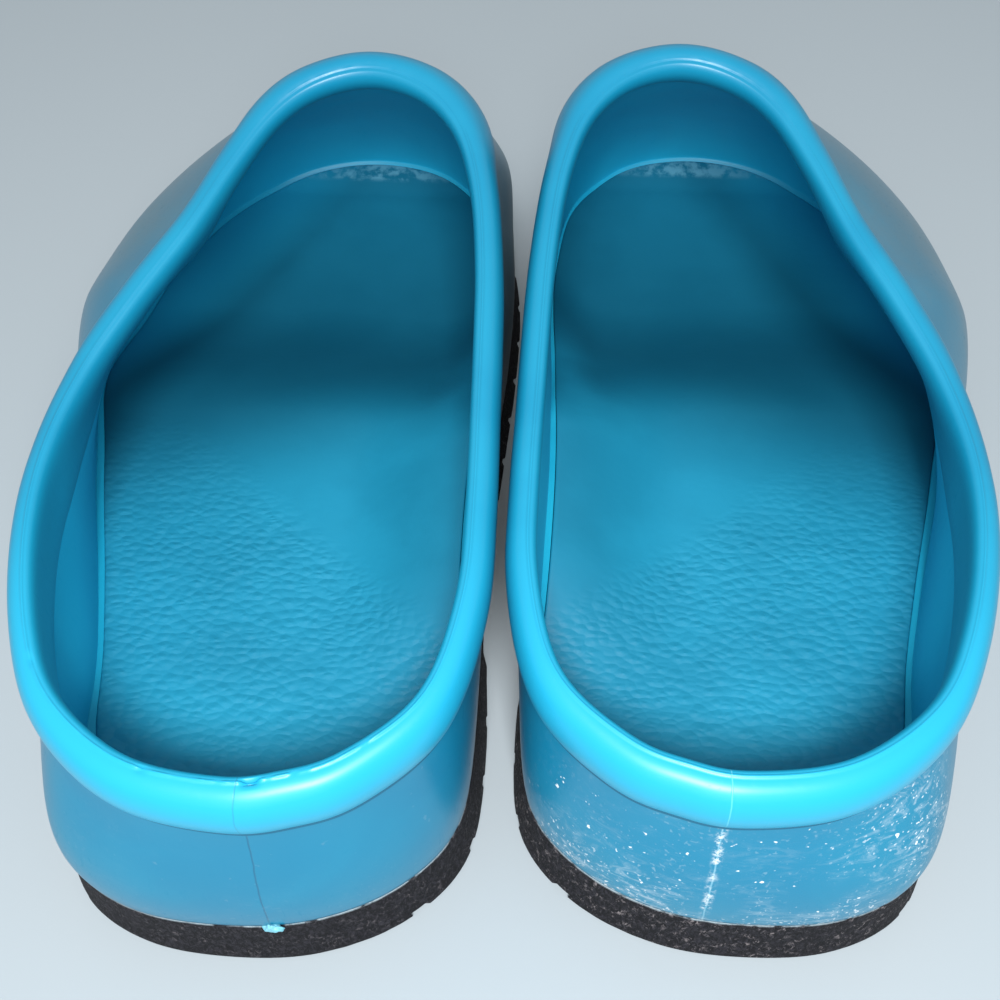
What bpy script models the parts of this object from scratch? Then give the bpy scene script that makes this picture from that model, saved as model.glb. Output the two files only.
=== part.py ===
"""Rubber garden clogs, one pair: teal moulded uppers with a rolled collar, lift-out footbeds,
hidden midsole fillers and black rubber outsoles. Metres, +Z up, +Y towards the toes, right clog at +X."""
import bpy
import bmesh
import math
from mathutils import Vector

for leftover in list(bpy.data.objects):
    bpy.data.objects.remove(leftover, do_unlink=True)

MM = 0.001
RING = 44                     # points round the clog in every lofted ring
WALL = 3.5 * MM               # thickness of the upper
SEAT = 0.3 * MM               # gap left between two pieces that touch
SOLE_FLARE = 1.8 * MM         # the outsole stands out past the upper at the floor
HEEL_HEIGHT = 16.0 * MM       # black outsole at the heel
FORE_HEIGHT = 9.0 * MM        # black outsole under the ball and toes
HEEL_BREAST = -48.0 * MM      # front face of the heel block
BALL_EDGE = -14.0 * MM        # rear edge of the forefoot tread
ARCH_LIFT = 5.5 * MM          # height of the waist above the floor
GROOVE = 3.0 * MM             # width of a tread groove
GROOVE_DEEP = 2.6 * MM
COLLAR_TALL = 12.2 * MM       # rolled collar, crown to lower edge
COLLAR_SEAT = 0.6 * MM        # gap between the collar's lower edge and the upper
COLLAR_LEAN = math.radians(45)   # the collar leans forward with the vamp at the throat
FOOTBED_HEEL = 28.0 * MM      # footbed surface at the heel
FOOTBED_FORE = 16.0 * MM      # footbed surface in the forefoot recess
FOOTBED_THICK = 3.2 * MM
FOOTBED_GAP = 0.6 * MM        # clearance round the lift-out footbed
FOOTBED_PIVOT = 106.0 * MM    # the footbed lifts about its toe end
FOOTBED_LIFT = math.radians(2.5)
WALL_ROOT = 4.2 * MM          # the outer quarter is this much thicker where it meets the footbed
LEFT_BACK = 5.5 * MM          # the left clog stands this much further back

# Design stations of the right clog in mm, heel centre first, then round by the outer side, the toe
# and the inner side: outsole edge x, y, then collar crown x, y, z.
STATIONS = (
    (49, -113.5, 43, -103, 65), (68, -111.5, 60, -100, 65), (83, -103, 75, -89, 65),
    (90, -87, 82.5, -75, 66), (92.5, -65, 87, -57, 68), (97, -40, 87.5, -40, 70.5),
    (103, -13, 83.5, -23, 74), (107, 13, 76, -7, 78.5), (107.5, 40, 68, 8, 82.5),
    (102.5, 68, 61, 23.5, 87), (91, 93, 53.5, 35.5, 91.5), (73, 111, 44.5, 42.5, 94.5),
    (48, 118.5, 33, 45, 96), (24, 113.5, 21.5, 41, 95), (8.5, 97, 13, 32, 92),
    (2.5, 72, 8.5, 18.5, 87.5), (2, 43, 6.5, 2, 82.5), (3.5, 15, 5.8, -14, 78.5),
    (5, -14, 5.4, -31, 74.5), (4.5, -43, 5, -49, 71), (3, -68, 5.5, -67, 68),
    (5, -90.5, 10.5, -86, 66), (16, -104, 23, -97.5, 65), (32, -111.5, 33, -101.5, 65),
)


def ring_of(column, count):
    """Closed smooth resampling of one column of the stations."""
    values = [row[column] * MM for row in STATIONS]
    n = len(values)
    out = []
    for i in range(count):
        t = i * n / count
        k = int(t)
        f = t - k
        a, b, c, d = (values[(k + j) % n] for j in (-1, 0, 1, 2))
        out.append(b + 0.5 * f * (c - a + f * (2 * a - 5 * b + 4 * c - d + f * (3 * (b - c) + d - a))))
    return out


def smooth(value, lo, hi):
    t = min(1.0, max(0.0, (value - lo) / (hi - lo)))
    return t * t * (3 - 2 * t)


def outward(points):
    """Horizontal outward direction at every point of a closed ring that runs heel, outer side, toe."""
    n = len(points)
    result = []
    for i in range(n):
        run = points[(i + 1) % n] - points[i - 1]
        result.append(Vector((run.y, -run.x, 0)).normalized())
    return result


def sole_ring(count=RING):
    return [Vector((x, y, 0)) for x, y in zip(ring_of(0, count), ring_of(1, count))]


def crown_ring(count=RING):
    return [Vector(p) for p in zip(ring_of(2, count), ring_of(3, count), ring_of(4, count))]


def sole_top(y):
    """Height of the outsole's upper face, which falls from the heel block to the forefoot."""
    return HEEL_HEIGHT + (FORE_HEIGHT - HEEL_HEIGHT) * smooth(y, -62 * MM, 2 * MM)


def heel_weight(y):
    """1 at the back of the heel, 0 ahead of it."""
    return 1 - smooth(y, -104 * MM, -80 * MM)


def collar_axes(crown):
    """Outward and upward direction of the collar's section at each point of the crown."""
    axes = []
    for lip in outward(crown):
        lean = COLLAR_LEAN * smooth(lip.y, 0.05, 0.9)
        out = lip * math.cos(lean) + Vector((0, 0, math.sin(lean)))
        up = Vector((0, 0, math.cos(lean))) - lip * math.sin(lean)
        axes.append((out, up))
    return axes


def wall_sections(count=RING):
    """Bezier control points of the outer wall, one section for each point of the rings."""
    sole, crown = sole_ring(count), crown_ring(count)
    side, axes = outward(sole), collar_axes(crown)
    sections = []
    for i in range(count):
        foot = sole[i] - side[i] * SOLE_FLARE
        foot.z = sole_top(foot.y) + SEAT
        out, up = axes[i]
        head = crown[i] + out * (2.5 + 0.9 * heel_weight(crown[i].y)) * MM - up * (COLLAR_TALL + COLLAR_SEAT)
        run = foot - head
        rise = -run.z
        run.z = 0
        across = side[i] * run.dot(side[i])
        along = run - across
        w = smooth(across.length, 4 * MM, 30 * MM)
        bulge = (1.0 + 4.0 * smooth(side[i].x, -0.2, 0.9) * w) * MM
        front = smooth(side[i].y, -0.25, 0.80)          # the toe slopes more than the sides
        low = foot - along / 3 + side[i] * bulge
        low.z += rise * (0.34 + (0.34 - 0.28 * front) * w)
        high = head + along / 3 + across * (0.3 + (0.37 - 0.33 * front) * w)
        high.z -= rise * (0.34 - (0.25 - 0.18 * front) * w)
        sections.append((foot, low, high, head))
    return sections, side


def bezier(section, t):
    a, b, c, d = section
    s = 1 - t
    return a * s ** 3 + b * (3 * s * s * t) + c * (3 * s * t * t) + d * t ** 3


def wall_at(section, z):
    """Point of the outer wall at height z, searched from the bottom."""
    lo, hi = 0.0, 0.6
    for _ in range(24):
        mid = (lo + hi) / 2
        if bezier(section, mid).z < z:
            lo = mid
        else:
            hi = mid
    return bezier(section, lo)


def thickness(point, out):
    """Wall thickness, which grows towards the footbed on the outer side of the heel."""
    root = smooth(out.x, 0.1, 0.8) * (1 - smooth(point.y, -72 * MM, -14 * MM))
    return WALL + WALL_ROOT * root * (1 - smooth(point.z, 28 * MM, 54 * MM))


def footbed_top(x, y):
    """Footbed surface: flat heel, a rise into the arch, and a slope down into the forefoot recess
    that swings forward on the inner side."""
    forward = 15 * MM * (1 - smooth(x, 6 * MM, 22 * MM)) + 3 * MM * smooth(x, 28 * MM, 50 * MM)
    step = smooth(y - forward, 2 * MM, 50 * MM)
    z = FOOTBED_HEEL + (FOOTBED_FORE - FOOTBED_HEEL) * step
    arch = smooth(y, -78 * MM, -40 * MM) * (1 - smooth(y, -8 * MM, 24 * MM))
    z += 11 * MM * arch * (1 - smooth(x, 4 * MM, 38 * MM))
    z += 2.5 * MM * smooth(y, 99 * MM, 112 * MM)
    return z


def footbed_under(y):
    return FOOTBED_HEEL - FOOTBED_THICK + (FOOTBED_FORE - FOOTBED_HEEL) * smooth(y, 4 * MM, 36 * MM)


def inner_ring(height, gap, lift=0.0, count=RING):
    """Ring just inside the upper at the height given by a function of y, and clear of the wall
    above it as far up as a plate lifted about its toe end by this angle comes."""
    sections, side = wall_sections(count)
    ring = []
    for section, out in zip(sections, side):
        z = height(section[0].y)
        raised = z + 6 * MM * smooth(section[0].y, 40 * MM, 90 * MM)
        p = wall_at(section, raised)
        above = wall_at(section, raised + lift * max(0.0, FOOTBED_PIVOT - p.y))
        lean = max(0.0, (p - above).dot(out))
        p = p - out * (thickness(p, out) + gap + lean)
        ring.append(Vector((p.x, p.y, z)))
    return ring


def collection(name):
    col = bpy.data.collections.new(name)
    bpy.context.scene.collection.children.link(col)
    return col


CLOGS = collection("rubber_garden_clogs")
CUTTERS = collection("cutters")


def material(name, colour, roughness, metallic=0.0):
    mat = bpy.data.materials.new(name)
    mat.use_nodes = True
    shader = mat.node_tree.nodes["Principled BSDF"]
    shader.inputs["Base Color"].default_value = (*colour, 1)
    shader.inputs["Roughness"].default_value = roughness
    shader.inputs["Metallic"].default_value = metallic
    return mat


TEAL = (0.012, 0.33, 0.56)
MATERIALS = {
    "upper": ("teal_pvc", TEAL, 0.28),
    "collar": ("teal_pvc_rim", TEAL, 0.25),
    "footbed": ("teal_footbed", (0.014, 0.31, 0.53), 0.42),
    "midsole": ("foam_filler", (0.10, 0.16, 0.20), 0.8),
    "outsole": ("black_rubber", (0.035, 0.032, 0.036), 0.75),
}


def place(bm, kind, side, target=None, smooth_faces=True):
    """Turn a right-hand bmesh into the right or the left clog's object."""
    if side < 0:
        for v in bm.verts:
            v.co = Vector((-v.co.x, v.co.y - LEFT_BACK, v.co.z))
        bmesh.ops.reverse_faces(bm, faces=bm.faces)
    prefix = "right_" if side > 0 else "left_"
    mesh = bpy.data.meshes.new(prefix + kind)
    bm.normal_update()
    bm.to_mesh(mesh)
    bm.free()
    for face in mesh.polygons:
        face.use_smooth = smooth_faces
    obj = bpy.data.objects.new(prefix + kind, mesh)
    (target or CLOGS).objects.link(obj)
    if kind in MATERIALS:
        name, colour, roughness = MATERIALS[kind]
        mesh.materials.append(material(prefix + name, colour, roughness))
    return obj


def loft(bm, rings, closed=False):
    """Quads between successive closed rings of vertices."""
    pairs = list(zip(rings, rings[1:]))
    if closed:
        pairs.append((rings[-1], rings[0]))
    for low, high in pairs:
        n = len(low)
        for i in range(n):
            j = (i + 1) % n
            bm.faces.new((low[i], low[j], high[j], high[i]))


def verts(bm, points):
    return [bm.verts.new(p) for p in points]


def build_upper(side):
    """Thin moulded shell: heel wall, quarters and the bulbous vamp over the toes."""
    bm = bmesh.new()
    sections, out = wall_sections()
    axes = collar_axes(crown_ring())
    steps = 9
    outer = [[bezier(s, k / steps) for s in sections] for k in range(steps + 1)]
    inner = []
    for k, row in enumerate(outer):
        line = []
        for i, p in enumerate(row):
            if k == 0:
                line.append(p - out[i] * thickness(p, out[i]))
            elif k == steps:
                line.append(p - axes[i][0] * WALL)
            else:
                round_it = row[(i + 1) % RING] - row[i - 1]
                up_it = outer[k + 1][i] - outer[k - 1][i]
                line.append(p - round_it.cross(up_it).normalized() * thickness(p, out[i]))
        inner.append(line)
    loft(bm, [verts(bm, row) for row in outer + inner[::-1]], closed=True)
    bmesh.ops.recalc_face_normals(bm, faces=bm.faces)
    return place(bm, "upper", side)


# Section of the rolled collar in mm: outward from the crown, then up. It runs crown, outer
# face, lower edge, seat on the upper, inner face.
COLLAR_PROFILE = ((0, 0), (2.0, -0.7), (3.6, -2.9), (4.1, -5.9), (3.9, -9.2), (3.1, -12.2),
                  (-1.0, -12.2), (-1.7, -8.6), (-2.2, -4.4), (-1.5, -1.0))


def build_collar(side):
    bm = bmesh.new()
    crown = crown_ring()
    axes = collar_axes(crown)
    rings = []
    for out, up in reversed(COLLAR_PROFILE):
        ring = []
        for p, (out_dir, up_dir) in zip(crown, axes):
            wide = 1 + 0.28 * heel_weight(p.y) if out > 0 else 1
            ring.append(p + out_dir * (out * wide * MM) + up_dir * (up * MM))
        rings.append(verts(bm, ring))
    loft(bm, rings, closed=True)
    bmesh.ops.recalc_face_normals(bm, faces=bm.faces)
    return place(bm, "collar", side)


def plate(top_ring, low_ring, top_z, low_z, shares=(0.9, 0.68, 0.4)):
    """Closed plate between two outlines whose faces follow height functions of x and y."""
    bm = bmesh.new()

    def spread(ring, z_of):
        # every ring shrinks towards a spine that runs along the middle of the foot
        rows = [verts(bm, [Vector((p.x, p.y, z_of(p.x, p.y))) for p in ring])]
        for share in shares:
            row = []
            for p in ring:
                sy = max(-62 * MM, min(66 * MM, p.y * 0.78))
                spine = Vector((47 * MM + 0.05 * sy, sy, 0))
                q = spine.lerp(Vector((p.x, p.y, 0)), share)
                row.append(Vector((q.x, q.y, z_of(q.x, q.y))))
            rows.append(verts(bm, row))
        return rows

    def close_middle(row, flip):
        # bridge across the innermost ring, heel end to toe end
        n = len(row)
        k = n // 2
        for i in range(k):
            a, b, c, d = row[i], row[i + 1], row[(n - i - 1) % n], row[(n - i) % n]
            loop = [v for j, v in enumerate((a, b, c, d)) if v not in (a, b, c, d)[:j]]
            if len(loop) > 2:
                bm.faces.new(loop if not flip else loop[::-1])

    tops = spread(top_ring, top_z)
    lows = spread(low_ring, low_z)
    loft(bm, lows[::-1] + tops)
    close_middle(tops[-1], False)
    close_middle(lows[-1], True)
    bmesh.ops.triangulate(bm, faces=[f for f in bm.faces if len(f.verts) > 3])
    bmesh.ops.recalc_face_normals(bm, faces=bm.faces)
    return bm


def build_footbed(side):
    """Lift-out footbed with a raised arch, a forefoot recess and a turned-up front edge."""
    top = inner_ring(lambda y: footbed_under(y) + FOOTBED_THICK, FOOTBED_GAP, FOOTBED_LIFT)
    low = inner_ring(footbed_under, FOOTBED_GAP, FOOTBED_LIFT)
    bm = plate(top, low, footbed_top, lambda x, y: footbed_under(y))
    return place(bm, "footbed", side)


def build_midsole(side):
    """Hidden filler that carries the footbed above the outsole."""
    under = lambda y: footbed_under(y) - SEAT
    over = lambda y: sole_top(y) + SEAT
    bm = plate(inner_ring(under, 0.9 * MM), inner_ring(over, 0.9 * MM),
               lambda x, y: under(y), lambda x, y: over(y), (0.72, 0.36))
    return place(bm, "midsole", side)


def box(bm, x0, x1, y0, y1, z0, z1, taper=0.0):
    made = bmesh.ops.create_cube(bm, size=1.0)["verts"]
    for v in made:
        top = v.co.z > 0
        shrink = taper if top else 0.0
        v.co = Vector((x0 if v.co.x < 0 else x1,
                       y0 + shrink if v.co.y < 0 else y1 - shrink,
                       z1 if top else z0))


def tread_cutter(side):
    """Waist gap under the arch and the cross grooves of heel and forefoot."""
    bm = bmesh.new()
    x0, x1 = -20 * MM, 140 * MM
    box(bm, x0, x1, HEEL_BREAST, BALL_EDGE, -5 * MM, ARCH_LIFT, 3 * MM)
    lines = [HEEL_BREAST - (12 + 14 * k) * MM for k in range(4)]
    lines += [BALL_EDGE + (14 + 14 * k) * MM for k in range(8)]
    for y in lines:
        box(bm, x0, x1, y - GROOVE / 2, y + GROOVE / 2, -5 * MM, GROOVE_DEEP)
    obj = place(bm, "tread_cutter", side, CUTTERS, False)
    obj.hide_render = True
    obj.display_type = "WIRE"
    return obj


def build_outsole(side):
    """Black rubber sole: heel block, waist and forefoot tread, flared at the floor."""
    sole = sole_ring()
    out = outward(sole)
    upper_edge = []
    for p, n in zip(sole, out):
        q = p - n * SOLE_FLARE
        upper_edge.append(Vector((q.x, q.y, sole_top(q.y))))
    bm = plate(upper_edge, sole, lambda x, y: sole_top(y), lambda x, y: 0.0, (0.72, 0.36))
    flat = [f for f in bm.faces if all(v.co.z < 1e-6 for v in f.verts)]
    bmesh.ops.dissolve_faces(bm, faces=flat)
    obj = place(bm, "outsole", side, smooth_faces=False)
    cut = obj.modifiers.new("tread", "BOOLEAN")
    cut.operation = "DIFFERENCE"
    cut.solver = "EXACT"
    cut.object = tread_cutter(side)
    return obj


def centre(objects):
    """Put the middle of the pair's footprint on the world origin."""
    ys = [v.co.y for obj in objects for v in obj.data.vertices]
    shift = (min(ys) + max(ys)) / 2
    for obj in bpy.data.objects:
        if obj.type == "MESH":
            for v in obj.data.vertices:
                v.co.y -= shift


for SIDE in (1, -1):
    build_outsole(SIDE)
    build_midsole(SIDE)
    build_footbed(SIDE)
    build_upper(SIDE)
    build_collar(SIDE)
centre([obj for obj in bpy.data.objects if obj.name.endswith("outsole")])
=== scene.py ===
import math
import bmesh
import bpy
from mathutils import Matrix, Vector, kdtree, noise


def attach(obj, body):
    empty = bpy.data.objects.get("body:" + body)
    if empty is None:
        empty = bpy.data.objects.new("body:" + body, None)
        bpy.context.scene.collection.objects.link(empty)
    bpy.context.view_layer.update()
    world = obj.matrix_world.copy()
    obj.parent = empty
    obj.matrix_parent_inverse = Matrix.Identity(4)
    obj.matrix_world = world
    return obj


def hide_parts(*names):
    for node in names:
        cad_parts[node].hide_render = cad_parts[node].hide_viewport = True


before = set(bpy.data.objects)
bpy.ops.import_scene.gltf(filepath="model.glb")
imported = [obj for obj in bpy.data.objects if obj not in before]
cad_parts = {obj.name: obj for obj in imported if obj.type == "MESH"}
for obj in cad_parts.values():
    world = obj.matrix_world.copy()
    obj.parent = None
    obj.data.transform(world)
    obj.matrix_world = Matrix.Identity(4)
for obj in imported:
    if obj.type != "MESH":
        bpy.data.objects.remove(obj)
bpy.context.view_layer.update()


# ---------------------------------------------------------------- black outsoles
# Each clog stands on one moulding of black reground rubber, bonded under the teal shell: a heel
# block, a raised waist and a cross-grooved tread. Its cut edge is rough, fibrous and dusty.
SOLE_EDGE = (
    (49, -113.5), (68, -111.5), (83, -103), (90, -87), (92.5, -65), (97, -40), (103, -13),
    (107, 13), (107.5, 40), (102.5, 68), (91, 93), (73, 111), (48, 118.5), (24, 113.5),
    (8.5, 97), (2.5, 72), (2, 43), (3.5, 15), (5, -14), (4.5, -43), (3, -68), (5, -90.5),
    (16, -104), (32, -111.5),
)                                # right foot, mm: heel, outer side, toe, inner side
SOLE_SIDE = (
    (-2.8, 1.00, 0.0), (-2.0, 1.00, -0.3), (-1.7, 0.93, 0), (-1.5, 0.80, 0), (-1.3, 0.65, 0),
    (-1.0, 0.50, 0), (-0.7, 0.36, 0), (-0.4, 0.24, 0), (-0.15, 0.14, 0), (-0.02, 0.0, 1.2),
    (-0.25, 0.0, 0.4), (-0.9, 0.0, 0.0),
)                                # mm outward, share of the sole's height, mm above that
HEEL_BLOCK, FORE_SOLE = 0.016, 0.009
HEEL_STEP = -0.062, 0.002        # where the heel block runs down to the forefoot
GROOVE_PITCH, GROOVE_WIDE, GROOVE_DEEP = 0.014, 0.003, 0.0026
HEEL_GROOVES, FORE_GROOVES = (-0.060, 4), (0.0, 8)       # first groove and number of grooves
WAIST = -0.031, 0.034, 0.0055, 0.003     # middle, length, height, slope of its ends
SOLE_MIDDLE = 0.055
AROUND = 528                     # points round a clog
SMOOTHINGS = 24                  # rounds of averaging, which take the corners out of an outline
LEFT_BACK = 0.0055               # the left clog stands this much further back
MIDDLE = 0.00025                 # forward, to centre the pair


def outline(stations, column, count=AROUND):
    """A smooth closed line through one column of the stations, in metres."""
    n, line = len(stations), []
    for i in range(count):
        k, f = int(i * n / count), (i * n / count) % 1.0
        a, b, c, d = (stations[(k + j) % n][column] * 0.001 for j in (-1, 0, 1, 2))
        line.append(b + 0.5 * f * (c - a + f * (2 * a - 5 * b + 4 * c - d + f * (3 * (b - c) + d - a))))
    for _ in range(SMOOTHINGS):
        line = [(line[i - 1] + 2 * line[i] + line[(i + 1) % count]) / 4 for i in range(count)]
    return line


def ease(value, low, high):
    """0 below low, 1 above high and a smooth rise between."""
    t = min(1.0, max(0.0, (value - low) / (high - low)))
    return t * t * (3 - 2 * t)


def outward(ring):
    """Level outward direction at each point of a ring."""
    n = len(ring)
    runs = [ring[(i + 1) % n] - ring[i - 1] for i in range(n)]
    return [Vector((run.y, -run.x, 0)).normalized() for run in runs]


def sole_edge():
    return [Vector((x, y, 0)) for x, y in zip(outline(SOLE_EDGE, 0), outline(SOLE_EDGE, 1))]


def sole_top(y):
    return HEEL_BLOCK + (FORE_SOLE - HEEL_BLOCK) * ease(y, *HEEL_STEP)


def sleeve(bm, rows, close=False):
    """A skin over closed rows of points, as a welded grid; each point keeps its row's number."""
    rows = rows + rows[:1] if close else rows
    count = len(rows[0])
    level = bm.verts.layers.int.new("row")
    made = bmesh.ops.create_grid(bm, x_segments=count, y_segments=len(rows) - 1, size=1)["verts"]
    for v in made:
        i = round((v.co.x + 1) / 2 * count)
        k = round((v.co.y + 1) / 2 * (len(rows) - 1))
        v.co, v[level] = rows[k][i % count], k
    bmesh.ops.remove_doubles(bm, verts=bm.verts, dist=1e-7)


def shoe(bm, foot, kind, node, slot, *finishes, body="clog", whole=True):
    """Place a right-foot shape as a piece of the right clog, or mirrored for the left one."""
    bmesh.ops.translate(bm, verts=bm.verts, vec=(0, MIDDLE, 0))
    if foot == "left":
        bmesh.ops.scale(bm, verts=bm.verts, vec=(-1, 1, 1))
        bmesh.ops.translate(bm, verts=bm.verts, vec=(0, -LEFT_BACK, 0))
        if not whole:
            bmesh.ops.reverse_faces(bm, faces=bm.faces)
    if whole:
        bmesh.ops.recalc_face_normals(bm, faces=bm.faces)
    mesh = bpy.data.meshes.new(foot + "_" + kind)
    bm.to_mesh(mesh)
    bm.free()
    mesh.shade_smooth()
    piece = bpy.data.objects.new(foot + "_" + kind, mesh)
    bpy.context.scene.collection.objects.link(piece)
    for finish in finishes:
        mesh.materials.append(finish)
    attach(piece, foot + "_" + body)
    if node:
        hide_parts(foot + "_" + node)
    return piece


def cut_tread(piece, foot):
    """Cut the waist and the cross grooves out of a sole."""
    bm = bmesh.new()
    bars = [WAIST]
    for (first, count), pitch in ((HEEL_GROOVES, -GROOVE_PITCH), (FORE_GROOVES, GROOVE_PITCH)):
        bars += [(first + pitch * k, GROOVE_WIDE, GROOVE_DEEP, 0.0) for k in range(count)]
    for y, wide, deep, slope in bars:
        for v in bmesh.ops.create_cube(bm, size=1)["verts"]:
            top = v.co.z > 0
            along = math.copysign(wide / 2 - (slope if top else 0), v.co.y)
            across = SOLE_MIDDLE + math.copysign(0.08, v.co.x)
            v.co = Vector((across, y + along, deep if top else -0.005))
    cutter = shoe(bm, foot, "cutter", None, "black_rubber", piece.data.materials[0])
    cut = piece.modifiers.new("tread", "BOOLEAN")
    cut.operation, cut.solver, cut.object = "DIFFERENCE", "EXACT", cutter
    bpy.context.view_layer.update()
    done = bpy.data.meshes.new_from_object(piece.evaluated_get(bpy.context.evaluated_depsgraph_get()))
    piece.modifiers.clear()
    piece.data = done
    bpy.data.objects.remove(cutter, do_unlink=True)
    done.shade_smooth()
    done.set_sharp_from_angle(angle=math.radians(35))


def add(tree, kind, props=None, inputs=None):
    """A shader node with its settings, and its inputs given as values or as other sockets."""
    made = tree.nodes.new(kind)
    for name, value in (props or {}).items():
        setattr(made, name, value)
    for name, value in (inputs or {}).items():
        if isinstance(value, bpy.types.NodeSocket):
            tree.links.new(value, made.inputs[name])
        else:
            made.inputs[name].default_value = value
    return made


def sums(tree, work, a, b=0.5, c=0.5):
    """A maths node: its inputs in order, the third only for MULTIPLY_ADD."""
    return add(tree, "ShaderNodeMath", {"operation": work}, {0: a, 1: b, 2: c}).outputs[0]


def band(tree, value, low, high):
    """0 below low, 1 above high, eased between; low above high turns it round."""
    return add(tree, "ShaderNodeMapRange", {"interpolation_type": "SMOOTHSTEP"},
               {"Value": value, "From Min": low, "From Max": high}).outputs["Result"]


def grain(tree, coords, scale, detail=3.0, rough=0.5, stretch=(1, 1, 1), twist=0.0):
    """Noise from 0 to 1; the scale is about how many lumps there are to a metre."""
    turned = add(tree, "ShaderNodeMapping", None, {"Vector": coords, "Scale": stretch}).outputs[0]
    return add(tree, "ShaderNodeTexNoise", None,
               {"Vector": turned, "Scale": scale, "Detail": detail, "Roughness": rough,
                "Distortion": twist}).outputs["Fac"]


def blend(tree, share, a, b):
    """Mix of two colours by a share."""
    return add(tree, "ShaderNodeMix", {"data_type": "RGBA"}, {0: share, 6: a, 7: b}).outputs[2]


def finish_of(name, roughness, **constants):
    """A new material, with its tree, its shader and the piece's own coordinates to build on."""
    mat = bpy.data.materials.new(name)
    mat.use_nodes = True
    tree = mat.node_tree
    shader = tree.nodes["Principled BSDF"]
    shader.inputs["Roughness"].default_value = roughness
    for socket, value in constants.items():
        shader.inputs[socket.replace("_", " ")].default_value = value
    where = tree.nodes.new("ShaderNodeTexCoord").outputs["Object"]
    x, y, z = add(tree, "ShaderNodeSeparateXYZ", None, {0: where}).outputs
    return mat, tree, shader, where, (x, y, z)


def black_rubber(foot, dust):
    """Matt black crumb rubber with pale fibres, dust and a chipped bond line at the top edge."""
    mat, tree, shader, where, (x, y, z) = finish_of(foot + "_black_rubber", 0.86, Specular_IOR_Level=0.25)
    fibre = grain(tree, where, 1300, 5, 0.75, (1, 1, 0.55), 0.8)
    clod = grain(tree, where, 420, 4, 0.65)
    base = blend(tree, band(tree, fibre, 0.44, 0.60), (0.004, 0.004, 0.006, 1), (0.022, 0.021, 0.028, 1))
    overlay = sums(tree, "MULTIPLY", band(tree, clod, 0.46, 0.70), band(tree, fibre, 0.50, 0.64))
    base = blend(tree, sums(tree, "MULTIPLY", overlay, dust), base, (0.34, 0.30, 0.30, 1))
    lip = band(tree, z, 0.0150, 0.0158)
    chips = sums(tree, "MULTIPLY", lip, band(tree, grain(tree, where, 300, 4), 0.36, 0.50))
    base = blend(tree, sums(tree, "MULTIPLY", chips, 0.9), base, (0.50, 0.62, 0.68, 1))
    tree.links.new(base, shader.inputs["Base Color"])
    height = sums(tree, "MULTIPLY_ADD", fibre, 0.7, sums(tree, "MULTIPLY", clod, 0.5))
    bump = add(tree, "ShaderNodeBump", None, {"Height": height, "Strength": 0.9, "Distance": 0.0008})
    tree.links.new(bump.outputs[0], shader.inputs["Normal"])
    return mat


for foot, dust in (("right", 0.75), ("left", 0.25)):
    edge = sole_edge()
    side = outward(edge)
    rows = []
    for out, share, lift in SOLE_SIDE:
        ring = []
        for p, n in zip(edge, side):
            ragged = 0.22 if -2.5 < out < -0.2 else 0.05
            nick = min(0.0, ragged * noise.noise(p * 330 + Vector((0, 0, share * 9))))
            q = p + n * (out + nick * 1.3) * 0.001
            q.z = sole_top(q.y) * share + lift * 0.001
            ring.append(q)
        rows.append(ring)
    bm = bmesh.new()
    sleeve(bm, rows)
    bmesh.ops.holes_fill(bm, edges=[e for e in bm.edges if e.is_boundary], sides=0)
    bmesh.ops.triangulate(bm, faces=[f for f in bm.faces if len(f.verts) > 4])
    sole = shoe(bm, foot, "rubber_outsole", "outsole", "black_rubber", black_rubber(foot, dust))
    cut_tread(sole, foot)


# ---------------------------------------------------------------- midsole fillers
# A closed-cell block fills the shell between the outsole and the footbed and carries the weight.
# It is never seen with the footbed in, and shows only as a dull blue-grey foam when it is lifted.
for foot in ("right", "left"):
    mat, tree, shader, where, _ = finish_of(foot + "_foam", 0.85)
    cells = add(tree, "ShaderNodeTexVoronoi", None, {"Vector": where, "Scale": 900.0}).outputs["Distance"]
    tree.links.new(blend(tree, cells, (0.07, 0.12, 0.15, 1), (0.13, 0.20, 0.24, 1)),
                   shader.inputs["Base Color"])
    tree.links.new(add(tree, "ShaderNodeBump", None, {"Height": cells, "Strength": 0.4, "Distance": 0.0004})
                   .outputs[0], shader.inputs["Normal"])
    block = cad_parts[foot + "_midsole"]
    for k in range(max(1, len(block.data.materials))):
        if k < len(block.data.materials):
            block.data.materials[k] = mat
        else:
            block.data.materials.append(mat)


# ---------------------------------------------------------------- moulded uppers
# The upper is a thin one-piece shell of glossy teal PVC: a low heel wall, quarters that widen to
# the ball of the foot and a rounded vamp over the toes. A fine mould parting line runs down the heel.
COLLAR_LINE = (
    (43, -103, 65), (60, -100, 65), (75, -89, 65), (82.5, -75, 66), (87, -57, 68), (87.5, -40, 70.5),
    (83.5, -23, 74), (76, -7, 78.5), (68, 8, 82.5), (61, 23.5, 87), (53.5, 35.5, 91.5),
    (44.5, 42.5, 94.5), (33, 45, 96), (21.5, 41, 95), (13, 32, 92), (8.5, 18.5, 87.5), (6.5, 2, 82.5),
    (5.8, -14, 78.5), (5.4, -31, 74.5), (5, -49, 71), (5.5, -67, 68), (10.5, -86, 66),
    (23, -97.5, 65), (33, -101.5, 65),
)                                # right foot, mm: crown of the rolled collar
COLLAR_TALL, COLLAR_LEAN = 0.0125, 45            # the lean is in degrees, at the throat
WALL_OUT, WALL_OUT_HEEL = 0.0025, 0.0009         # the wall's top outside the collar's crown line
WALL_FOOT_IN, BOND_GAP = 0.0018, 0.0003          # the wall's foot, in from the sole's edge and above it
SHELL, SHELL_ROOT = 0.0035, 0.0042               # thickness, and what the outer root adds to it
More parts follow.
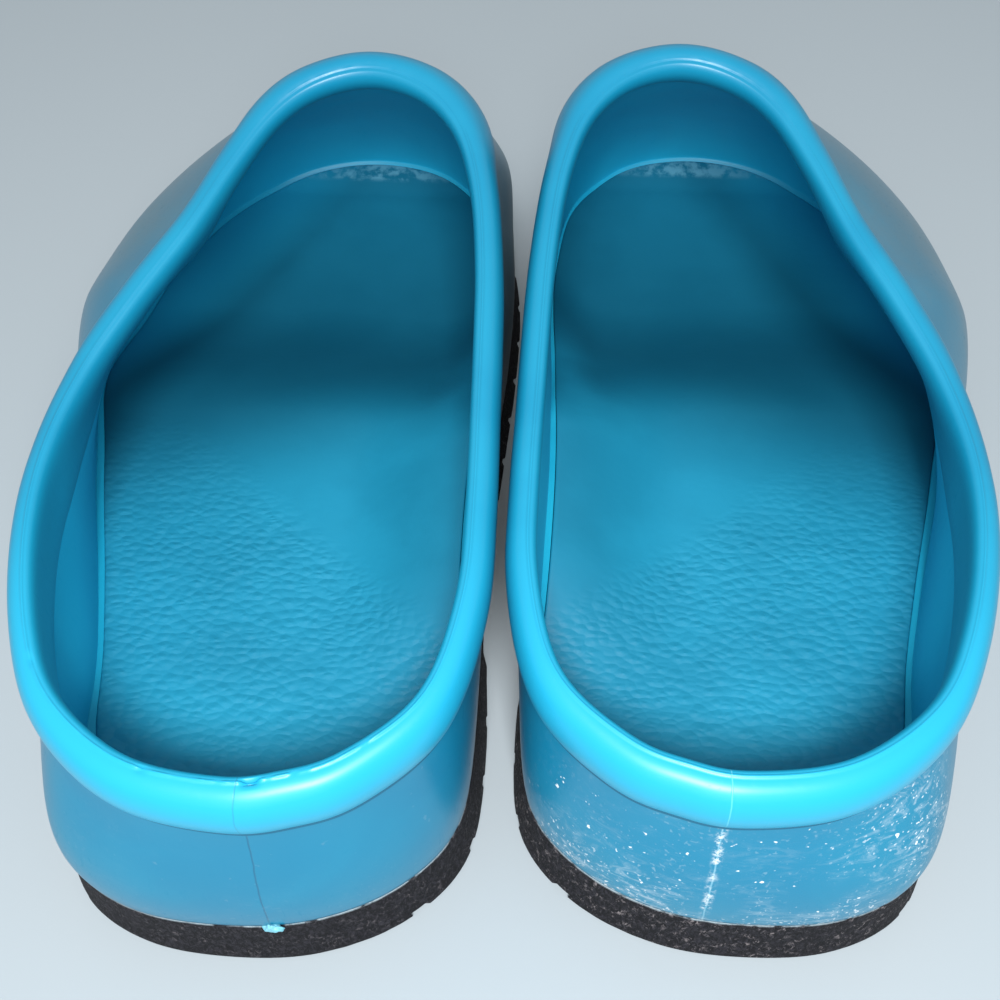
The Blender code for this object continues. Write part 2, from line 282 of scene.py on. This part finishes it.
UP_THE_WALL, LEDGE_ROWS, CREASE_ROWS = 44, 40, 2
# the inner face's material is a paler painted-light copy of the outer one, and the crease's is a painted
# shadow line under the collar
OUTER_FACE, INNER_FACE, CREASE = 0, 1, 2         # the upper's three finishes
FOOTBED_HEEL, FOOTBED_FORE, FOOTBED_THICK = 0.028, 0.016, 0.0032
ARCH, TOE_UPTURN = 0.011, 0.0025
FOOTBED_LIFT, LIFT_LINE = math.radians(2.5), 0.106
FOOTBED_GAP, LEDGE_GAP = 0.0006, 0.00015


def footbed_top(x, y):
    """Footbed surface: flat heel, raised arch, a step down to the forefoot, a turned-up front."""
    forward = 0.015 * (1 - ease(x, 0.006, 0.022)) + 0.003 * ease(x, 0.028, 0.050)
    step = ease(y - forward, 0.002, 0.050)
    z = FOOTBED_HEEL + (FOOTBED_FORE - FOOTBED_HEEL) * step
    arch = ease(y, -0.078, -0.040) * (1 - ease(y, -0.008, 0.024))
    z += ARCH * arch * (1 - ease(x, 0.004, 0.038))
    return z + TOE_UPTURN * ease(y, 0.099, 0.112)


def collar_line():
    return [Vector(p) for p in zip(*(outline(COLLAR_LINE, k) for k in range(3)))]


def at_heel(y):
    return 1 - ease(y, -0.104, -0.080)


def collar_axes(crown):
    """Outward and upward direction of the rolled collar, which leans forward at the throat."""
    axes = []
    for lip in outward(crown):
        lean = math.radians(COLLAR_LEAN) * ease(lip.y, 0.05, 0.9)
        axes.append((lip * math.cos(lean) + Vector((0, 0, math.sin(lean))),
                     Vector((0, 0, math.cos(lean))) - lip * math.sin(lean)))
    return axes


def wall_curves():
    """One curve up the outer wall at each point round the clog, from the sole to the collar."""
    edge, crown = sole_edge(), collar_line()
    side, axes, curves = outward(edge), collar_axes(crown), []
    for i in range(AROUND):
        foot_point = edge[i] - side[i] * WALL_FOOT_IN
        foot_point.z = sole_top(foot_point.y) + BOND_GAP
        out, up = axes[i]
        head = crown[i] + out * (WALL_OUT + WALL_OUT_HEEL * at_heel(crown[i].y)) - up * COLLAR_TALL
        run = foot_point - head
        rise = -run.z
        run.z = 0
        across = side[i] * run.dot(side[i])
        along = run - across
        w = ease(across.length, 0.004, 0.030)
        bulge = 0.001 + 0.004 * ease(side[i].x, -0.2, 0.9) * w
        front = ease(side[i].y, -0.25, 0.80)
        low = foot_point - along / 3 + side[i] * bulge
        low.z += rise * (0.34 + (0.34 - 0.28 * front) * w)
        high = head + along / 3 + across * (0.3 + (0.37 - 0.33 * front) * w)
        high.z -= rise * (0.34 - (0.25 - 0.18 * front) * w)
        curves.append((foot_point, low, high, head))
    return curves, side


def along_curve(curve, t):
    a, b, c, d = curve
    s = 1 - t
    return a * s ** 3 + b * (3 * s * s * t) + c * (3 * s * t * t) + d * t ** 3


def shell_thickness(p, out):
    """Thicker at the root of the outer quarter, where the wall meets the footbed."""
    root = ease(out.x, 0.1, 0.8) * (1 - ease(p.y, -0.072, -0.014))
    return SHELL + SHELL_ROOT * root * (1 - ease(p.z, 0.028, 0.054))


def wall_at(curve, z):
    """Where a wall curve passes a height, as its share of the way up."""
    low, high = 0.0, 0.6
    for _ in range(22):
        mid = (low + high) / 2
        low, high = (mid, high) if along_curve(curve, mid).z < z else (low, mid)
    return low


def bed_level(y):
    """Height of the footbed's edge."""
    return FOOTBED_HEEL + (FOOTBED_FORE - FOOTBED_HEEL) * ease(y, 0.004, 0.036)


def footbed_edge():
    """The footbed's outline: just inside the shell, and clear of it when the heel end is lifted."""
    curves, side = wall_curves()
    ring = []
    for curve, out in zip(curves, side):
        z = bed_level(curve[0].y)
        raised = z + 0.006 * ease(curve[0].y, 0.040, 0.090)
        p = along_curve(curve, wall_at(curve, raised))
        travel = FOOTBED_LIFT * max(0.0, LIFT_LINE - p.y)
        above = along_curve(curve, wall_at(curve, raised + travel))
        lean = max(0.0, (p - above).dot(out))
        p = p - out * (shell_thickness(p, out) + FOOTBED_GAP + lean)
        ring.append(Vector((p.x, p.y, z)))
    return ring


def inside_of(outer, k, i, side, out):
    """The point of the shell's inner face opposite a point of its outer face."""
    row = outer[k]
    if k == 0:
        step = side[i]
    elif k == UP_THE_WALL:
        step = out
    else:
        level_run, rising_run = row[(i + 1) % AROUND] - row[i - 1], outer[k + 1][i] - outer[k - 1][i]
        step = level_run.cross(rising_run).normalized()
        merge = ease(k / UP_THE_WALL, 0.90, 1.0)
        step = (step * (1 - merge) + out * merge).normalized()
    return row[i] - step * shell_thickness(row[i], side[i])


def shell_rows():
    """Rows of the shell's outer and inner faces, both from the sole up."""
    curves, side = wall_curves()
    axes = collar_axes(collar_line())
    outer = [[along_curve(c, k / UP_THE_WALL) for c in curves] for k in range(UP_THE_WALL + 1)]
    inner = [[inside_of(outer, k, i, side, axes[i][0]) for i in range(AROUND)]
             for k in range(UP_THE_WALL + 1)]
    return outer, inner


def ledge_rows(inner):
    """The inner face down to a narrow ledge that meets the footbed's edge, then straight down."""
    edge = footbed_edge()
    side = outward(edge)
    rows = [[] for _ in range(LEDGE_ROWS)]
    foot_row, ledge_row = [], []
    for i in range(AROUND):
        column = [row[i] for row in inner]
        level = max(footbed_top(edge[i].x, edge[i].y), column[0].z + 0.002) - LEDGE_GAP
        j = next(k for k, p in enumerate(column) if p.z > level)
        at = j - 1 + (level - column[j - 1].z) / (column[j].z - column[j - 1].z)
        for n in range(LEDGE_ROWS):
            u = at + (UP_THE_WALL - at) * (n / (LEDGE_ROWS - 1)) ** 1.25
            k = min(int(u), UP_THE_WALL - 1)
            rows[n].append(column[k].lerp(column[k + 1], u - k))
        near = edge[i] + side[i] * LEDGE_GAP
        ledge_row.append(Vector((near.x, near.y, level)))
        foot_row.append(Vector((near.x, near.y, column[0].z)))
    return [foot_row, ledge_row] + rows


def vamp_grey_reflection(tree, where, y, z):
    """Share of the painted grey reflection and shade on the vamp's outside: mottled, full on the quarters
    and thin at the toes.
    """
    fine = sums(tree, "MULTIPLY_ADD", grain(tree, where, 520, 5, 0.7), 0.5, 0.25)
    overlay = sums(tree, "MULTIPLY_ADD", grain(tree, where, 60, 5, 0.6), 0.6, fine)
    overlay = sums(tree, "MULTIPLY", band(tree, y, -0.035, 0.030), overlay)
    overlay = sums(tree, "MULTIPLY", overlay, band(tree, z, 0.110, 0.060))
    toes = sums(tree, "MULTIPLY_ADD", band(tree, y, 0.070, 0.112), -0.55, 1.0)
    return sums(tree, "MULTIPLY", sums(tree, "MULTIPLY", overlay, toes), 0.72)


def parting_gap(tree, where, x, z):
    """Distance from the heel's slightly wandering parting line, which slants to the inner side."""
    line_x = sums(tree, "MULTIPLY_ADD", z, -0.020, 0.04095)
    wander = sums(tree, "MULTIPLY_ADD", grain(tree, where, 160, 2), 0.0007, -0.00035)
    off = sums(tree, "ADD", sums(tree, "ABSOLUTE", x), wander)
    return sums(tree, "ABSOLUTE", sums(tree, "SUBTRACT", off, line_x))


def parting_powder(tree, where, gap, heel):
    """Clumps of pale powder caught along the parting line."""
    powder = sums(tree, "MULTIPLY", band(tree, gap, 0.0013, 0.0001),
                  band(tree, grain(tree, where, 900, 5, 0.75), 0.46, 0.60))
    clump = band(tree, grain(tree, where, 190, 2), 0.44, 0.58)
    clump = sums(tree, "MULTIPLY_ADD", clump, 0.75, 0.12)
    return sums(tree, "MULTIPLY", sums(tree, "MULTIPLY", powder, heel), clump)


def heel_dirt(tree, where, x, z, heel):
    """Dust in wisps and pinhead specks, thickest along the sole and on the outer side."""
    low = band(tree, z, 0.036, 0.017)
    outer_side = band(tree, sums(tree, "ABSOLUTE", x), 0.052, 0.088)
    zone = sums(tree, "MULTIPLY_ADD", sums(tree, "MAXIMUM", low, outer_side), 0.85, 0.12)
    zone = sums(tree, "MULTIPLY", zone, band(tree, grain(tree, where, 55, 3), 0.36, 0.60))
    zone = sums(tree, "MULTIPLY", zone, heel)
    wisps = band(tree, grain(tree, where, 260, 6, 0.75, (0.5, 1, 1.4), 1.2), 0.46, 0.72)
    specks = band(tree, grain(tree, where, 1150, 1, 0.5), 0.64, 0.70)
    crumbs = band(tree, grain(tree, where, 480, 2, 0.5), 0.70, 0.74)
    fine = sums(tree, "MAXIMUM", sums(tree, "MULTIPLY", wisps, 0.62), specks)
    return sums(tree, "MAXIMUM", sums(tree, "MULTIPLY", fine, zone), sums(tree, "MULTIPLY", crumbs, heel))


def teal_pvc(name, foot, roughness, dust=0.0, seam=None, tint=(0.005, 0.198, 0.332)):
    """Glossy teal PVC with faint flow mottling, fine scuffs, dust and the heel's parting line; the collar
    gets painted light at its heel end and the upper a painted grey reflection and shade on its vamp.
    """
    mat, tree, shader, where, (x, y, z) = finish_of(foot + "_" + name, roughness, Specular_IOR_Level=0.4)
    flow = grain(tree, where, 28, 3, 0.5, (1, 1, 1), 0.6)
    deep = (tint[0] * 0.7, tint[1] * 0.88, tint[2] * 0.92, 1)
    base = blend(tree, band(tree, flow, 0.32, 0.68), deep, (*tint, 1))
    scuff = grain(tree, where, 900, 5, 0.65, (1, 1, 0.25), 0.8)
    rough = sums(tree, "MULTIPLY_ADD", band(tree, scuff, 0.55, 0.75), 0.10, roughness - 0.02)
    rough = sums(tree, "MULTIPLY_ADD", band(tree, flow, 0.35, 0.7), 0.05, rough)
    height = sums(tree, "MULTIPLY", grain(tree, where, 260, 3, 0.5), 0.10)
    heel = band(tree, y, -0.085, -0.097)
    if name == "teal_collar":
        # painted light: the rim is made paler towards its heel end, standing in for the bright light on the
        # heel roll
        base = blend(tree, band(tree, y, -0.030, -0.112), base, (0.013, 0.350, 0.545, 1))
    if name == "teal_upper":
        # painted grey reflection and shade over the vamp's outer face
        base = blend(tree, vamp_grey_reflection(tree, where, y, z), base, (0.105, 0.150, 0.165, 1))
    if seam:
        shade, wide = seam
        gap = parting_gap(tree, where, x, z)
        line = sums(tree, "MULTIPLY", band(tree, gap, wide, wide * 0.35), heel)
        base = blend(tree, sums(tree, "MULTIPLY", line, 0.75), base, shade)
        height = sums(tree, "MULTIPLY_ADD", line, -0.8, height)
        if dust > 0.5:
            base = blend(tree, parting_powder(tree, where, gap, heel), base, (0.66, 0.72, 0.74, 1))
    if dust:
        dirt = sums(tree, "MULTIPLY", heel_dirt(tree, where, x, z, heel), dust)
        base = blend(tree, dirt, base, (0.70, 0.75, 0.77, 1))
        rough = sums(tree, "MULTIPLY_ADD", dirt, 0.45, rough)
    tree.links.new(base, shader.inputs["Base Color"])
    tree.links.new(rough, shader.inputs["Roughness"])
    bump = add(tree, "ShaderNodeBump", None, {"Height": height, "Strength": 0.25, "Distance": 0.0005})
    tree.links.new(bump.outputs[0], shader.inputs["Normal"])
    return mat


# each clog's dust, and the colour of its heel's parting line
HEEL_WEAR = {"right": (1.0, (0.16, 0.40, 0.52, 1)), "left": (0.06, (0.004, 0.10, 0.19, 1))}
for foot in ("right", "left"):
    outer, inner = shell_rows()
    bm = bmesh.new()
    sleeve(bm, outer + ledge_rows(inner)[::-1], close=True)
    level = bm.verts.layers.int["row"]
    for face in bm.faces:
        lowest = min(v[level] for v in face.verts)
        if lowest > UP_THE_WALL:
            face.material_index = INNER_FACE
        # the two rows just under the collar take the painted shadow line
        elif UP_THE_WALL - CREASE_ROWS <= lowest < UP_THE_WALL:
            face.material_index = CREASE
        else:
            face.material_index = OUTER_FACE
    dust, shade = HEEL_WEAR[foot]
    shoe(bm, foot, "moulded_upper", "upper", "teal_pvc",
         teal_pvc("teal_upper", foot, 0.33, dust, (shade, 0.00022)),
         # painted light: the inner face is a much paler copy of the same PVC, standing in for light inside
         # the toe box
         teal_pvc("teal_inside_painted_light", foot, 0.42, tint=(0.014, 0.420, 0.640)),
         # painted shadow: a dark line in the crease under the collar
         teal_pvc("teal_crease_painted_shadow", foot, 0.50, tint=(0.004, 0.110, 0.190)))


# ---------------------------------------------------------------- rolled collars
# The rim of the opening is rolled over into a thick half-round collar of the same teal PVC, with an
# undercut below it outside, a soft fillet inside, and a thin line of mould flash along its crown.
ROLL = (
    (-0.50, -0.26), (-0.24, -0.20), (-0.17, 0.0), (0.13, 0.0), (0.20, -0.20), (0.6, -0.24),
    (1.2, -0.40), (1.8, -0.70), (2.4, -1.2), (2.95, -1.95), (3.4, -2.95), (3.75, -4.1), (3.98, -5.4),
    (4.08, -6.8), (4.03, -8.2), (3.85, -9.6), (3.6, -10.8), (3.3, -11.7), (2.95, -12.15), (2.3, -12.3),
    (0.5, -12.3), (-0.7, -12.3),
)                                # mm outward from the crown line and up, over the outside
ROLL_INSIDE = (
    (-1.20, -12.3), (-1.30, -10.4), (-1.45, -8.4), (-1.60, -6.4), (-1.72, -4.6), (-1.75, -3.2),
    (-1.66, -2.1), (-1.45, -1.3), (-1.15, -0.75), (-0.80, -0.42),
)                                # mm, back up the inside
SKIRT = ((-2, 0.5), (-6, 0.4), (-6, 0.10), (-5, 0.03), (-4, -0.01), (-3, -0.03), (-2, -0.045))
# rows from the wall's top and share of the way through the shell: the skirt sinks into the shell
TEARS = ((0.0374, 0.0013, 4, 1.3), (0.0555, 0.0006, 2, 0.5), (0.0790, 0.0006, 2, 0.4))
# place across the left heel, half width, sharpness and depth in mm of each tear in the flash
FLASH = 1, 2, 3, 4               # the points of the roll that make the flash, 2 and 3 its top


def flash_rise(p, rise, out_dir, foot, k):
    """Height of the flash in mm: uneven, and at the left heel with bits of it torn away."""
    frayed = foot == "left" and p.y < -0.08
    ragged = (0.22 if frayed else 0.03) * noise.noise(p * 650)
    if k in FLASH[1:3]:
        rise = min(0.0, -0.06 + ragged) - 0.12 * ease(out_dir.z, 0.1, 0.5)
    if frayed:
        rise -= sum(deep * math.exp(-((p.x - place) / half) ** sharp) for place, half, sharp, deep in TEARS)
    return rise


for foot in ("right", "left"):
    crown = collar_line()
    axes = collar_axes(crown)
    outer, inner = shell_rows()
    rows = []
    for k, (out, up) in enumerate(ROLL):
        row = []
        for p, (out_dir, up_dir) in zip(crown, axes):
            wide = 1 + 0.28 * at_heel(p.y) if out > 0.3 else 1
            rise = flash_rise(p, up, out_dir, foot, k) if k in FLASH else up
            row.append(p + out_dir * out * wide * 0.001 + up_dir * rise * 0.001)
        rows.append(row)
    for down, depth in SKIRT:
        k = UP_THE_WALL + down
        rows.append([inner[k][i].lerp(outer[k][i], depth) for i in range(AROUND)])
    for out, up in ROLL_INSIDE:
        row = []
        for p, (out_dir, up_dir) in zip(crown, axes):
            # at the throat the upper part of the inner face stays upright and rounds off below
            level = Vector((out_dir.x, out_dir.y, 0)).normalized()
            tip = 0.9 * (1 - ease(-up, 0.5, 12.8))
            out_dir = out_dir.lerp(level, tip).normalized()
            up_dir = up_dir.lerp(Vector((0, 0, 1)), tip).normalized()
            row.append(p + out_dir * out * 0.001 + up_dir * up * 0.001)
        rows.append(row)
    bm = bmesh.new()
    sleeve(bm, rows, close=True)
    shade = (0.10, 0.50, 0.66, 1) if foot == "right" else (0.02, 0.26, 0.42, 1)
    shoe(bm, foot, "rolled_collar", "collar", "teal_pvc_rim",
         teal_pvc("teal_collar", foot, 0.36, 0.0, (shade, 0.00016), (0.007, 0.232, 0.380)))


# ---------------------------------------------------------------- mould flash
# A drop of teal flash is left hanging where the left heel's parting line runs into the outsole.
DROP_PLACE = 0.0404, -0.11155, 0.0158
DROP_WIDE, DROP_THICK, DROP_UP, DROP_DOWN = 0.0021, 0.0007, 0.0017, 0.0012
bm = bmesh.new()
bmesh.ops.create_icosphere(bm, subdivisions=4, radius=1)
for v in bm.verts:
    lump = 1 + 0.30 * noise.noise(v.co * 1.9) + 0.10 * noise.noise(v.co * 5)
    tall = DROP_UP if v.co.z > 0 else DROP_DOWN
    v.co = Vector((v.co.x * DROP_WIDE, v.co.y * DROP_THICK, v.co.z * tall)) * lump
    v.co.x *= 1.0 - 0.45 * ease(v.co.z, 0.0, 0.0016)
    v.co += Vector(DROP_PLACE)
shoe(bm, "left", "flash_drop", None, "teal_pvc",
     teal_pvc("teal_flash", "left", 0.35, tint=(0.22, 0.52, 0.62)))


# ---------------------------------------------------------------- footbeds
# A loose teal insert lies in each clog: pebbled at the heel and outer side, smooth over the raised
# arch, with a softly stepped recess under the ball and toes and a turned-up front edge.
ARCH_LINE = 0.068                # where the pebbled grain ends towards the arch
ACROSS = 64                      # cells across a footbed
RIM_ROWS = 0.0, 0.0003, 0.0007, 0.0012, 0.002    # distances in from the edge, for a crisp rim
RIM_ROUND, RIM_DROP = 0.0008, 0.0002


def pebbles(tree, where):
    """Height of small leather-like pebbles, wider than they are long, over a fine ripple."""
    warp = add(tree, "ShaderNodeTexNoise", None, {"Vector": where, "Scale": 170.0, "Detail": 2.0})
    bent = add(tree, "ShaderNodeVectorMath", {"operation": "MULTIPLY_ADD"},
               {0: warp.outputs["Color"], 1: (0.0016, 0.0012, 0.0), 2: where}).outputs[0]
    cells = add(tree, "ShaderNodeMapping", None, {"Vector": bent, "Scale": (0.80, 1.35, 1.0)}).outputs[0]
    pebble = add(tree, "ShaderNodeTexVoronoi", {"feature": "SMOOTH_F1"},
                 {"Vector": cells, "Scale": 500.0, "Smoothness": 0.28}).outputs["Distance"]
    ripple = grain(tree, where, 400, 2.0, 0.5, (0.6, 1.2, 1), 0.3)
    return sums(tree, "MULTIPLY_ADD", pebble, -1.0, sums(tree, "MULTIPLY", ripple, 0.35))


def pebbled_zone(tree, off, y, back):
    """Share of the grain: full at the heel and outer side, nearly none on the arch and forefoot."""
    rear = band(tree, y, 0.004, -0.045)
    # the arch ends on a slanting line from the middle of the foot to the inner heel
    slant = sums(tree, "MULTIPLY_ADD", off, 0.867, sums(tree, "MULTIPLY", y, -1.0))
    arch = band(tree, slant, ARCH_LINE + back + 0.005, ARCH_LINE + back - 0.006)
    zone = sums(tree, "MULTIPLY", rear, sums(tree, "SUBTRACT", 1.0, arch))
    return sums(tree, "MULTIPLY_ADD", zone, 0.95, 0.05)


def forefoot_tone(tree, where, off, y, back, base):
    """Painted shade in the recess under the ball and toes, and painted light on its outer front corner,
    where the collar's shadow falls.
    """
    edge = sums(tree, "MULTIPLY_ADD", sums(tree, "SUBTRACT", off, 0.030), 0.40, y)
    edge = sums(tree, "MULTIPLY_ADD", band(tree, off, 0.022, 0.006), -0.015, edge)
    edge = sums(tree, "MULTIPLY_ADD", grain(tree, where, 40, 2), 0.006, edge)
    recess = band(tree, edge, -0.012 - back, 0.032 - back)
    corner = band(tree, sums(tree, "MULTIPLY_ADD", y, 0.5, off), 0.102 - back / 2, 0.124 - back / 2)
    # painted shade: the recess is darkened, more at its back than at the toes
    deep = sums(tree, "MULTIPLY_ADD", band(tree, y, 0.120, 0.010), 0.40, 0.40)
    deep = sums(tree, "MULTIPLY", deep, sums(tree, "MULTIPLY_ADD", corner, -0.95, 1.0))
    base = blend(tree, sums(tree, "MULTIPLY", recess, deep), base, (0.001, 0.050, 0.088, 1))
    # painted light: the recess's outer front corner is lightened where the collar's shadow falls
    corner_painted_light = sums(tree, "MULTIPLY", recess, sums(tree, "MULTIPLY", corner, 0.70))
    return blend(tree, corner_painted_light, base, (0.013, 0.350, 0.540, 1))


def front_edge_highlight(tree, where, off, y, back):
    """Share of the painted highlight along the turned-up front edge, in patches."""
    edge = band(tree, y, 0.1045 - back, 0.1066 - back)
    from_middle = sums(tree, "ABSOLUTE", sums(tree, "SUBTRACT", off, 0.046))
    rim = sums(tree, "MULTIPLY", edge, band(tree, from_middle, 0.034, 0.004))
    patches = band(tree, grain(tree, where, 330, 4, 0.6), 0.38, 0.62)
    return sums(tree, "MULTIPLY", sums(tree, "MULTIPLY", rim, patches), 0.6)


def teal_footbed(foot):
    """Satin teal, with painted light at the heel, painted shade along the inner side and in the forefoot
    recess, and a painted highlight at the front edge.
    """
    mat, tree, shader, where, (x, y, z) = finish_of(foot + "_teal_footbed", 0.46, Specular_IOR_Level=0.3)
    off = sums(tree, "ABSOLUTE", x)
    back = LEFT_BACK if foot == "left" else 0.0
    mottle = grain(tree, where, 40, 3, 0.5)
    base = blend(tree, band(tree, mottle, 0.35, 0.65), (0.008, 0.205, 0.330, 1), (0.010, 0.234, 0.372, 1))
    # painted light: the heel end is made paler, lifting the shade near the heel wall
    pale = sums(tree, "MULTIPLY", band(tree, y, -0.062, -0.098), 0.6)
    base = blend(tree, pale, base, (0.015, 0.330, 0.500, 1))
    base = forefoot_tone(tree, where, off, y, back, base)
    # painted shade along the footbed's inner edge, forward of the heel
    inner_side_painted_shade = sums(tree, "MULTIPLY", band(tree, off, 0.034, 0.006), band(tree, y, -0.085, -0.050))
    base = blend(tree, sums(tree, "MULTIPLY", inner_side_painted_shade, 0.30), base, (0.001, 0.060, 0.105, 1))
    # painted highlight along the turned-up front edge
    base = blend(tree, front_edge_highlight(tree, where, off, y, back), base, (0.16, 0.44, 0.56, 1))
    tree.links.new(base, shader.inputs["Base Color"])
    zone = pebbled_zone(tree, off, y, back)
    rough = sums(tree, "MULTIPLY_ADD", zone, 0.08, 0.46)
    tree.links.new(sums(tree, "MULTIPLY_ADD", mottle, 0.08, rough), shader.inputs["Roughness"])
    height = sums(tree, "MULTIPLY", pebbles(tree, where), zone)
    bump = add(tree, "ShaderNodeBump", None, {"Height": height, "Strength": 0.52, "Distance": 0.0008})
    tree.links.new(bump.outputs[0], shader.inputs["Normal"])
    return mat


def edge_points(ring, between=10):
    """A search tree of closely spaced points along the footbed's edge."""
    points = kdtree.KDTree(AROUND * between)
    for i in range(AROUND):
        for k in range(between):
            points.insert(ring[i].lerp(ring[(i + 1) % AROUND], k / between), i * between + k)
    points.balance()
    return points


def share_across(j, span):
    """How far across the footbed a column lies: close columns at both rims, even ones between."""
    m, last = min(j, ACROSS - j), len(RIM_ROWS) - 1
    share = min(0.5, RIM_ROWS[min(m, last)] / span)
    if m > last:
        share += (0.5 - share) * (m - last) / (ACROSS / 2 - last)
    return share if j <= ACROSS / 2 else 1 - share


def footbed_sheet():
    """The right footbed's upper face, laid across its outline and rounded down at the rim."""
    ring, half = footbed_edge(), AROUND // 2
    points = edge_points(ring)
    bm = bmesh.new()
    made = bmesh.ops.create_grid(bm, x_segments=ACROSS, y_segments=half, size=1)["verts"]
    for v in made:
        j, i = round((v.co.x + 1) * ACROSS / 2), round((v.co.y + 1) / 2 * half)
        a, b = ring[i], ring[-i % AROUND]
        p = a.lerp(b, share_across(j, max((a - b).length, 1e-6)))
        p.z = footbed_top(p.x, p.y)
        nearest = points.find_n(Vector((p.x, p.y, ring[i].z)), 3)
        gap = min((q - p).xy.length for q, _, _ in nearest)
        p.z -= RIM_DROP * max(0.0, 1 - gap / RIM_ROUND) ** 2
        v.co = p
    bmesh.ops.remove_doubles(bm, verts=bm.verts, dist=1e-6)
    bmesh.ops.recalc_face_normals(bm, faces=bm.faces)
    if sum(f.normal.z for f in bm.faces) < 0:
        bmesh.ops.reverse_faces(bm, faces=bm.faces)
    return bm


for foot in ("right", "left"):
    insert = shoe(footbed_sheet(), foot, "lift_out_footbed", "footbed", "teal_footbed",
                  teal_footbed(foot), body="insert", whole=False)
    solid = insert.modifiers.new("thickness", "SOLIDIFY")
    solid.thickness, solid.offset = FOOTBED_THICK, -1


# ---------------------------------------------------------------- studio
# A plain pale floor and an even pale surround, lit softly from behind the heels: one light high up,
# one close behind the viewpoint and a weak low one. The viewpoint is close above the heels.
FLOOR_PAINT = 0.355, 0.405, 0.435, 1
SURROUND, SURROUND_STRENGTH = (0.90, 0.94, 0.97, 1), 0.62
SOFTBOXES = (                    # name, place, what it faces, size, watts
    ("heel_softbox", (0.03, -0.46, 0.66), (0, -0.05, 0), 0.18, 5.8),
    ("near_softbox", (0.02, -0.24, 0.29), (0, 0, 0.03), 0.06, 0.50),
    ("low_softbox", (0.0, -0.85, 0.42), (0, 0, 0.03), 0.50, 1.2),
)
VIEW_FROM, VIEW_TURN = (0.0093, -0.18066, 0.24413), (36.123, 0.709, 3.361)
bm = bmesh.new()
bmesh.ops.create_grid(bm, x_segments=1, y_segments=1, size=12)
mesh = bpy.data.meshes.new("floor")
bm.to_mesh(mesh)
bm.free()
floor = bpy.data.objects.new("floor", mesh)
bpy.context.scene.collection.objects.link(floor)
paint = bpy.data.materials.new("pale_floor")
paint.use_nodes = True
paint.node_tree.nodes["Principled BSDF"].inputs["Base Color"].default_value = FLOOR_PAINT
paint.node_tree.nodes["Principled BSDF"].inputs["Roughness"].default_value = 0.9
mesh.materials.append(paint)

for name, place, aim, size, power in SOFTBOXES:
    light = bpy.data.lights.new(name, "AREA")
    light.size, light.energy = size, power
    lamp = bpy.data.objects.new(name, light)
    lamp.location = place
    lamp.rotation_euler = (Vector(aim) - Vector(place)).to_track_quat("-Z", "Y").to_euler()
    bpy.context.scene.collection.objects.link(lamp)

world = bpy.data.worlds.new("surround")
bpy.context.scene.world = world
world.use_nodes = True
world.node_tree.nodes["Background"].inputs["Color"].default_value = SURROUND
world.node_tree.nodes["Background"].inputs["Strength"].default_value = SURROUND_STRENGTH
bpy.context.scene.view_settings.view_transform = "Standard"

view = bpy.data.cameras.new("viewpoint")
view.sensor_width, view.lens, view.clip_start = 36.0, 42.61, 0.01
camera = bpy.data.objects.new("viewpoint", view)
camera.location = VIEW_FROM
camera.rotation_euler = tuple(math.radians(a) for a in VIEW_TURN)
bpy.context.scene.collection.objects.link(camera)
bpy.context.scene.camera = camera
